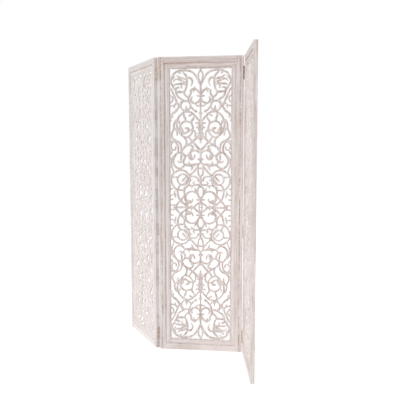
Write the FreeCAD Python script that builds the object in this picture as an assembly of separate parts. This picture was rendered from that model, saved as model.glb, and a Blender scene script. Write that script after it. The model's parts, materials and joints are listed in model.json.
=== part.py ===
import FreeCAD, Part
import math
import os

# A folding screen of three carved panels, all in millimetres.
# The centre panel stands on the floor at the origin, +X runs to its right,
# +Y to its back and +Z up. The left panel folds back and the right one forward.

# Overall sizes
panel_height = 1778.0
panel_width = 508.0
panel_thickness = 22.0
left_rest_angle = 58.0
right_rest_angle = 81.0

# Frame boards and their joints
stile_width = 37.0
rail_height = 35.0
board_chamfer = 1.2
tenon_thickness = 8.0
tenon_shoulder = 5.0
mortise_end_room = 1.0
mortise_end_wall = 10.0

# Moulding between the frame and the fretwork: a sunk quirk beside the frame, a
# bead, and a lip that holds the fretwork in a groove
quirk_width = 8.0
quirk_sink = 1.1
bead_slope = 1.5
bead_width = 11.0
bead_rise = 1.0
bead_crown = 1.0
lip_width = 7.5
lip_wall = 2.1
seat_depth = 5.0
seat_end_room = 1.0

# Fretwork
fretwork_thickness = 9.0
fretwork_rim = 7.0

# Butt hinges, screwed to the edges of the stiles
hinge_length = 76.0
hinge_end_distance = 98.0
middle_hinge_height = 750.0
leaf_thickness = 1.8
leaf_edge_margin = 3.0
leaf_gap = 1.4
knuckle_count = 3
knuckle_wall = 1.6
knuckle_face_room = 0.3
knuckle_end_room = 0.3
pin_radius = 1.6
pin_running_room = 0.05
pin_tip_length = 0.8
barrel_sides = 12

# How far a cut runs past what it cuts
overrun = 2.0

# Sizes that follow from the ones above
half_width = panel_width / 2
half_thickness = panel_thickness / 2
tenon_length = stile_width - mortise_end_wall - mortise_end_room
tenon_height = rail_height - 2 * tenon_shoulder
frame_half_width = half_width - stile_width
frame_half_height = panel_height / 2 - rail_height
moulding_width = quirk_width + bead_slope + bead_width + lip_width
sight_half_width = frame_half_width - moulding_width
sight_half_height = frame_half_height - moulding_width
field_half_width = sight_half_width - fretwork_rim
field_half_height = sight_half_height - fretwork_rim
fold_gap = 2 * leaf_thickness + leaf_gap
knuckle_radius = pin_radius + knuckle_wall
pin_offset = knuckle_radius + knuckle_face_room

# The openings of one quarter of the fretwork, seen from its middle: shares of
# half the field's width across, and of a tier's height up, tier by tier from the
# middle to the top.
tier_count = 4
tier_opening_shares = [
    [
        [(0.06, 0.20), (0.17, 0.42), (0.33, 0.45), (0.47, 0.34), (0.46, 0.22), (0.31, 0.23),
         (0.25, 0.17), (0.31, 0.08), (0.24, 0.05)],
        [(0.13, 0.60), (0.17, 0.51), (0.37, 0.50), (0.51, 0.43), (0.41, 0.62)],
        [(0.04, 0.72), (0.33, 0.69), (0.34, 0.91), (0.13, 0.86)],
        [(0.12, 0.94), (0.33, 0.96), (0.13, 1.12)],
        [(0.53, 0.91), (0.67, 0.94), (0.75, 0.82), (0.66, 0.74)],
        [(0.57, 0.48), (0.74, 0.48), (0.69, 0.26), (0.57, 0.37)],
        [(0.81, 0.49), (0.73, 0.23), (0.84, 0.11), (0.97, 0.10), (0.97, 0.61)],
        [(0.59, 0.04), (0.67, 0.16), (0.80, 0.04)],
        [(0.77, 0.64), (0.82, 0.58), (0.97, 0.78), (0.82, 0.87)],
        [(0.47, 0.99), (0.60, 1.06), (0.74, 1.06), (0.89, 0.96)],
    ],
    [
        [(0.14, 0.23), (0.27, 0.20), (0.35, 0.00), (0.22, 0.11)],
        [(0.33, 0.20), (0.55, 0.21), (0.62, 0.15), (0.42, -0.01), (0.32, 0.11)],
        [(0.10, 0.33), (0.05, 0.55), (0.15, 0.64), (0.29, 0.62), (0.20, 0.53), (0.20, 0.43),
         (0.35, 0.29)],
        [(0.44, 0.49), (0.51, 0.48), (0.54, 0.31), (0.43, 0.29)],
        [(0.42, 0.56), (0.53, 0.58), (0.58, 0.68), (0.40, 0.79), (0.30, 0.77)],
        [(0.69, 0.56), (0.81, 0.54), (0.86, 0.37), (0.80, 0.22), (0.69, 0.18), (0.59, 0.27),
         (0.75, 0.34)],
        [(0.50, 0.85), (0.62, 0.74), (0.73, 0.97), (0.54, 0.98)],
        [(0.78, 0.72), (0.93, 0.53), (0.97, 0.89), (0.84, 0.88)],
    ],
    [
        [(0.13, 0.28), (0.21, 0.27), (0.25, 0.46), (0.20, 0.60), (0.10, 0.50)],
        [(0.31, 0.34), (0.37, 0.47), (0.52, 0.49), (0.64, 0.37), (0.60, 0.23), (0.49, 0.32)],
        [(0.23, 0.63), (0.33, 0.50), (0.47, 0.56), (0.51, 0.70), (0.34, 0.74)],
        [(0.55, 0.56), (0.73, 0.47), (0.69, 0.62), (0.58, 0.70)],
        [(0.62, 0.80), (0.84, 0.56), (0.92, 0.68), (0.70, 0.89)],
        [(0.63, 0.04), (0.85, 0.01), (0.92, 0.09), (0.85, 0.26)],
        [(0.04, 0.57), (0.27, 0.80), (0.04, 0.72)],
        [(0.04, 0.80), (0.26, 0.92), (0.29, 1.01), (0.05, 0.99)],
        [(0.36, 0.96), (0.42, 0.86), (0.57, 0.86), (0.63, 0.96), (0.57, 1.05), (0.42, 1.05)],
    ],
    [
        [(0.05, 0.13), (0.25, 0.08), (0.31, 0.33), (0.21, 0.42), (0.05, 0.28)],
        [(0.04, 0.39), (0.20, 0.50), (0.34, 0.45), (0.40, 0.26), (0.48, 0.35), (0.42, 0.70),
         (0.25, 0.58), (0.13, 0.68)],
        [(0.22, 0.77), (0.44, 0.81), (0.44, 0.91), (0.32, 0.89)],
        [(0.52, 0.79), (0.82, 0.80), (0.76, 0.91), (0.53, 0.92)],
        [(0.51, 0.62), (0.92, 0.66), (0.87, 0.78), (0.53, 0.72)],
        [(0.51, 0.45), (0.59, 0.39), (0.76, 0.40), (0.92, 0.59), (0.52, 0.57)],
        [(0.46, 0.17), (0.52, 0.14), (0.73, 0.24), (0.58, 0.30)],
        [(0.66, 0.10), (0.71, -0.01), (0.91, 0.42), (0.84, 0.37)],
        [(0.04, 0.97), (0.12, 0.81), (0.29, 0.96)],
        [(0.82, 0.96), (0.97, 0.82), (0.98, 0.96)],
    ],
]

# Openings that lie across the upright middle line: their right-hand sides,
# from the line and back to it, again by tier. A third share bows the edge that
# starts there outwards, by that share of its length.
middle_opening_shares = [
    [[(0.00, 0.28, 0.07), (0.07, 0.45, 0.07), (0.00, 0.62)],
     [(0.00, 0.93), (0.03, 1.02), (0.00, 1.12)]],
    [[(0.00, 0.76), (0.09, 0.88), (0.00, 0.98)]],
    [],
    [[(0.00, 0.67), (0.05, 0.81), (0.00, 0.95)]],
]
centre_opening_shares = (0.04, 0.12)


def point(across, height):
    return FreeCAD.Vector(across, 0, height)


def bowed_edge(start, end, bow_share, outward):
    """A straight edge, or an arc that bows outwards by a share of its length."""
    if bow_share == 0:
        return Part.LineSegment(start, end).toShape()
    run = end - start
    middle = (start + end) / 2 + FreeCAD.Vector(run.z, 0, -run.x) * bow_share * outward
    return Part.Arc(start, middle, end).toShape()


def outline_wire(corners):
    """Closed wire through corners, each an across place, a height and a bow."""
    following = corners[1:] + corners[:1]
    turn = sum(a[0] * b[1] - b[0] * a[1] for a, b in zip(corners, following))
    outward = math.copysign(1, turn)
    edges = []
    for near, far in zip(corners, following):
        edges.append(bowed_edge(point(near[0], near[1]), point(far[0], far[1]), near[2], outward))
    return Part.Wire(edges)


def placed(shares, tier):
    """An outline's shares as places on the panel, measured from its middle."""
    tier_height = field_half_height / tier_count
    corners = []
    for share in shares:
        bow_share = share[2] if len(share) > 2 else 0
        corners.append((share[0] * field_half_width, (tier + share[1]) * tier_height, bow_share))
    return corners


def flipped(corners, across, up):
    return [(across * x, up * z, bow) for x, z, bow in corners]


def whole_outline(right_side):
    """An outline across the middle line, from the right side, which starts and ends on it."""
    left_side = []
    for near, far in zip(right_side, right_side[1:]):
        left_side.insert(0, (-far[0], far[1], near[2]))
    return right_side[:-1] + left_side


def fretwork_openings():
    """Wires of every opening, each drawn in its four mirrored places."""
    wires = []
    for tier, outlines in enumerate(tier_opening_shares):
        for shares in outlines:
            corners = placed(shares, tier)
            for across in (1, -1):
                for up in (1, -1):
                    wires.append(outline_wire(flipped(corners, across, up)))
    for tier, outlines in enumerate(middle_opening_shares):
        for shares in outlines:
            corners = whole_outline(placed(shares, tier))
            for up in (1, -1):
                wires.append(outline_wire(flipped(corners, 1, up)))
    across = centre_opening_shares[0] * field_half_width
    high = centre_opening_shares[1] * field_half_height / tier_count
    wires.append(outline_wire([(across, 0, 0), (0, high, 0), (-across, 0, 0), (0, -high, 0)]))
    return wires


def make_fretwork():
    """The pierced board, its edge seated in the mouldings' grooves."""
    side = sight_half_width + seat_depth
    top = sight_half_height + seat_depth
    rim = outline_wire([(-side, -top, 0), (side, -top, 0), (side, top, 0), (-side, top, 0)])
    face = Part.Face([rim] + fretwork_openings())
    board = face.extrude(FreeCAD.Vector(0, fretwork_thickness, 0))
    board.translate(FreeCAD.Vector(0, -fretwork_thickness / 2, panel_height / 2))
    return board


def chamfered_bar(width, thickness, length):
    """A bar along +Z, centred on X and Y, with its four long edges eased."""
    bar = Part.makeBox(width, thickness, length, FreeCAD.Vector(-width / 2, -thickness / 2, 0))
    long_edges = [edge for edge in bar.Edges if edge.BoundBox.ZLength > board_chamfer]
    return bar.makeChamfer(board_chamfer, long_edges)


def rail_bottoms():
    return {"bottom": 0, "top": panel_height - rail_height}


def make_stile(side):
    """An upright board, mortised for both rails. Side is 1 for right, -1 for left."""
    stile = chamfered_bar(stile_width, panel_thickness, panel_height)
    depth = tenon_length + mortise_end_room
    for bottom in rail_bottoms().values():
        start = -stile_width / 2 - overrun
        mortise = Part.makeBox(
            depth + overrun, tenon_thickness, tenon_height,
            FreeCAD.Vector(start, -tenon_thickness / 2, bottom + tenon_shoulder))
        if side < 0:
            mortise.rotate(FreeCAD.Vector(0, 0, 0), FreeCAD.Vector(0, 0, 1), 180)
        stile = stile.cut(mortise)
    stile.translate(FreeCAD.Vector(side * (half_width - stile_width / 2), 0, 0))
    return stile


def make_rail(bottom):
    """A cross board with a tenon at each end."""
    rail = chamfered_bar(rail_height, panel_thickness, 2 * frame_half_width)
    rail.rotate(FreeCAD.Vector(0, 0, 0), FreeCAD.Vector(0, 1, 0), 90)
    rail.translate(FreeCAD.Vector(-frame_half_width, 0, rail_height / 2))
    reach = frame_half_width + tenon_length
    tenons = Part.makeBox(
        2 * reach, tenon_thickness, tenon_height,
        FreeCAD.Vector(-reach, -tenon_thickness / 2, tenon_shoulder))
    rail = rail.fuse(tenons).removeSplitter()
    rail.translate(FreeCAD.Vector(0, 0, bottom))
    return rail


def moulding_section():
    """The closed section, alike on both faces, each corner across from the frame."""
    lip = fretwork_thickness / 2 + lip_wall
    quirk = lip - quirk_sink
    bead = lip + bead_rise
    groove = fretwork_thickness / 2
    groove_end = moulding_width - seat_depth - seat_end_room
    bead_start = quirk_width + bead_slope
    bead_end = bead_start + bead_width
    half = [(0, quirk), (quirk_width, quirk), (bead_start, bead), (bead_end, bead), (bead_end, lip),
            (moulding_width, lip), (moulding_width, groove), (groove_end, groove)]
    front = [FreeCAD.Vector(0, -out, across) for across, out in half]
    back = [FreeCAD.Vector(0, out, across) for across, out in reversed(half)]
    corners = front + back
    edges = []
    for start, end in zip(corners, corners[1:] + corners[:1]):
        if {start.z, end.z} == {bead_start, bead_end}:
            crown = FreeCAD.Vector(0, math.copysign(bead_crown, start.y), 0)
            edges.append(Part.Arc(start, (start + end) / 2 + crown, end).toShape())
        else:
            edges.append(Part.LineSegment(start, end).toShape())
    return Part.Face(Part.Wire(edges))


def moulding_strip(half_length):
    """A strip along X with its outer edge at zero height, mitred at both ends."""
    start = FreeCAD.Vector(-half_length, 0, 0)
    section = moulding_section()
    section.translate(start)
    strip = section.extrude(FreeCAD.Vector(2 * half_length, 0, 0))
    tip = half_length - moulding_width
    mitre = outline_wire([
        (-half_length, 0, 0), (half_length, 0, 0), (tip, moulding_width, 0), (-tip, moulding_width, 0)])
    mitre_block = Part.Face(mitre).extrude(FreeCAD.Vector(0, panel_thickness, 0))
    mitre_block.translate(FreeCAD.Vector(0, -half_thickness, 0))
    return strip.common(mitre_block)


def make_mouldings():
    """The four mitred strips, turned about the panel's middle and set inside its frame."""
    strips = {}
    y_axis = FreeCAD.Vector(0, 1, 0)
    origin = FreeCAD.Vector(0, 0, 0)
    for name, turn in (("bottom", 0), ("left", 90), ("top", 180), ("right", 270)):
        upright = turn % 180 != 0
        half_length = frame_half_height if upright else frame_half_width
        distance = frame_half_width if upright else frame_half_height
        strip = moulding_strip(half_length)
        strip.translate(FreeCAD.Vector(0, 0, -distance))
        strip.rotate(origin, y_axis, turn)
        strip.translate(FreeCAD.Vector(0, 0, panel_height / 2))
        strips[name] = strip
    return strips


def knuckle_spans():
    """The knuckles from the bottom up, by turns on the centre panel's leaf and the side panel's."""
    pitch = hinge_length / knuckle_count
    spans = {"centre": [], "wing": []}
    for number in range(knuckle_count):
        low = number * pitch - hinge_length / 2
        room_below = 0 if number == 0 else knuckle_end_room / 2
        room_above = 0 if number == knuckle_count - 1 else knuckle_end_room / 2
        owner = "centre" if number % 2 == 0 else "wing"
        spans[owner].append((low + room_below, low + pitch - room_above))
    return spans


def barrel(radius, low, high):
    """An upright many-sided barrel about the pin line, with its corners at a radius."""
    corners = []
    for number in range(barrel_sides):
        turn = 2 * math.pi * number / barrel_sides
        corners.append(FreeCAD.Vector(radius * math.cos(turn), radius * math.sin(turn), low))
    base = Part.Face(Part.makePolygon(corners + corners[:1]))
    return base.extrude(FreeCAD.Vector(0, 0, high - low))


def make_leaf(spans):
    """A hinge leaf on the left of the pin, which stands at the origin along Z."""
    outer = -fold_gap / 2
    leaf_width = panel_thickness - leaf_edge_margin
    leaf = Part.makeBox(
        leaf_thickness, leaf_width, hinge_length,
        FreeCAD.Vector(outer, pin_offset, -hinge_length / 2))
    for low, high in spans:
        knuckle = barrel(knuckle_radius, low, high)
        tongue = Part.makeBox(
            leaf_thickness, pin_offset, high - low, FreeCAD.Vector(outer, 0, low))
        leaf = leaf.fuse([knuckle, tongue])
    bore_flats_radius = pin_radius + pin_running_room
    bore_corner_radius = bore_flats_radius / math.cos(math.pi / barrel_sides)
    bore_reach = hinge_length / 2 + overrun
    bore = barrel(bore_corner_radius, -bore_reach, bore_reach)
    return leaf.cut(bore).removeSplitter()


def make_hinge():
    """A hinge in line, with the centre panel to the left of it and the fronts facing -Y."""
    spans = knuckle_spans()
    wing = make_leaf(spans["wing"]).mirror(FreeCAD.Vector(0, 0, 0), FreeCAD.Vector(1, 0, 0))
    pin_reach = hinge_length / 2 + pin_tip_length
    pin = barrel(pin_radius, -pin_reach, pin_reach)
    return {"centre_leaf": make_leaf(spans["centre"]), "wing_leaf": wing, "pin": pin}


def make_panel():
    """The pieces of one panel, standing on the floor over the origin."""
    pieces = {}
    for name, side in (("left", -1), ("right", 1)):
        pieces["stile_" + name] = make_stile(side)
    for name, bottom in rail_bottoms().items():
        pieces["rail_" + name] = make_rail(bottom)
    for name, strip in make_mouldings().items():
        pieces["moulding_" + name] = strip
    pieces["fretwork"] = make_fretwork()
    return pieces


def pin_place(side):
    """Where the pin line of a joint stands: at the front on the right, at the back on the left."""
    return FreeCAD.Vector(side * (half_width + fold_gap / 2), -side * (half_thickness + pin_offset), 0)


def hinge_heights():
    return {
        "bottom": hinge_end_distance,
        "middle": middle_hinge_height,
        "top": panel_height - hinge_end_distance,
    }


def hung(shape, side, height):
    """A hinge piece at its pin line, turned half round for the left joint, whose pins are behind."""
    piece = shape.copy()
    if side < 0:
        piece.rotate(FreeCAD.Vector(0, 0, 0), FreeCAD.Vector(0, 0, 1), 180)
    piece.translate(pin_place(side) + FreeCAD.Vector(0, 0, height))
    return piece


def folded(shape, side):
    """Turn a side panel's piece about its pin line, from in line to its rest angle."""
    angle = right_rest_angle if side > 0 else left_rest_angle
    turned = shape.copy()
    turned.rotate(pin_place(side), FreeCAD.Vector(0, 0, 1), -angle)
    return turned


def build():
    """Every node of the screen at rest, by name."""
    nodes = {}
    panel = make_panel()
    for name, shape in panel.items():
        nodes["centre_panel_" + name] = shape
    hinge = make_hinge()
    for wing, side in (("left", -1), ("right", 1)):
        for name, shape in panel.items():
            in_line = shape.copy()
            in_line.translate(FreeCAD.Vector(side * (panel_width + fold_gap), 0, 0))
            nodes[wing + "_panel_" + name] = folded(in_line, side)
        for level, height in hinge_heights().items():
            for name, shape in hinge.items():
                piece = hung(shape, side, height)
                if name == "wing_leaf":
                    piece = folded(piece, side)
                nodes["_".join([wing, level, "hinge", name])] = piece
    return nodes


os.makedirs("parts", exist_ok=True)
for node, solid in build().items():
    solid.exportStep("parts/" + node + ".step")
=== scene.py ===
import json
import math

import bmesh
import bpy
import numpy as np
from mathutils import Matrix, Vector


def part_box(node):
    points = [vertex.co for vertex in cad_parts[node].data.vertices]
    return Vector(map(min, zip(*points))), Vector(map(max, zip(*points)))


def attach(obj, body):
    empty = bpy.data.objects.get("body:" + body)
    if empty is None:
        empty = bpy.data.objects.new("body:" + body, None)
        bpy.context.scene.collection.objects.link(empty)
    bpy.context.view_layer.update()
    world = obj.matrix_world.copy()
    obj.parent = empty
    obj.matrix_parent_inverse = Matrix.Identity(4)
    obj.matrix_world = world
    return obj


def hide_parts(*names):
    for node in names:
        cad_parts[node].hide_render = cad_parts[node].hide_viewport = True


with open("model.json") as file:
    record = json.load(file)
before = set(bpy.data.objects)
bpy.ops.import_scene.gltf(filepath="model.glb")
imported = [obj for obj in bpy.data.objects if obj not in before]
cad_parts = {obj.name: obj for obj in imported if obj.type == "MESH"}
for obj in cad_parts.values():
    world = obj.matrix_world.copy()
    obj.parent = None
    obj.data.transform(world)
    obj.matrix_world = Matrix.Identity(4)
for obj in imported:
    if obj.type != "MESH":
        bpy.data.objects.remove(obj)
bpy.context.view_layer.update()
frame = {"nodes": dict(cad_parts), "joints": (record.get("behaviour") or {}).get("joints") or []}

# Lengths are in metres and in the frame's own place: the centre panel stands on
# the floor at the origin, +X to its right, +Y to its back and +Z up.
# "In panel place" means where the centre panel stands.

PANELS = ("left", "centre", "right")
HINGE_LEVELS = ("bottom", "middle", "top")

# Axes of a panel's face: level and upright
LEVEL = 0
UPRIGHT = 2

# Sizes read from the frame
stile_low, stile_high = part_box("centre_panel_stile_right")
_, fretwork_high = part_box("centre_panel_fretwork")
moulding_low, moulding_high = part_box("centre_panel_moulding_right")
panel_half_width = stile_high.x
panel_height = stile_high.z
panel_half_thickness = stile_high.y
middle_height = panel_height / 2
frame_half_width = stile_low.x
frame_half_height = moulding_high.z - middle_height
sight_half_width = moulding_low.x
moulding_width = frame_half_width - sight_half_width
sight_half_height = frame_half_height - moulding_width
board_half_width = fretwork_high.x
board_half_height = fretwork_high.z - middle_height
board_half_thickness = fretwork_high.y

# The fretwork's pierced field lies inside a plain rim
fretwork_rim = 0.007
field_half_width = sight_half_width - fretwork_rim
field_half_height = sight_half_height - fretwork_rim

# Section of the vines: how far they stand above the rim, their widths against the
# shares below, the crown across them, and where the sections of a round end stand
carve_rise = 0.0021
vine_gain = 1.3
carve_crown = 0.0017
carve_crown_share = 0.55
carve_arch_points = 7
vine_cap_turns = [math.radians(turn) for turn in (30, 55, 75, 88)]

# A leaf lies a little lower than the vine it springs from. Its slimmer end is no
# wider than this many shares, and than this share of its middle's width.
leaf_drop = 0.0006
leaf_end_width = 5
leaf_end_share = 1 / 2

# How finely the carving is made, and how far it runs past the planes where it is cut
carve_step = 0.0028
carve_overrun = 4 * carve_step
carve_voxel = 0.0012
carve_smooth_factor = 0.5
carve_smooth_rounds = 3
carve_faces = 26000
seam_reach = carve_voxel / 100
points_at_once = 2000

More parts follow.
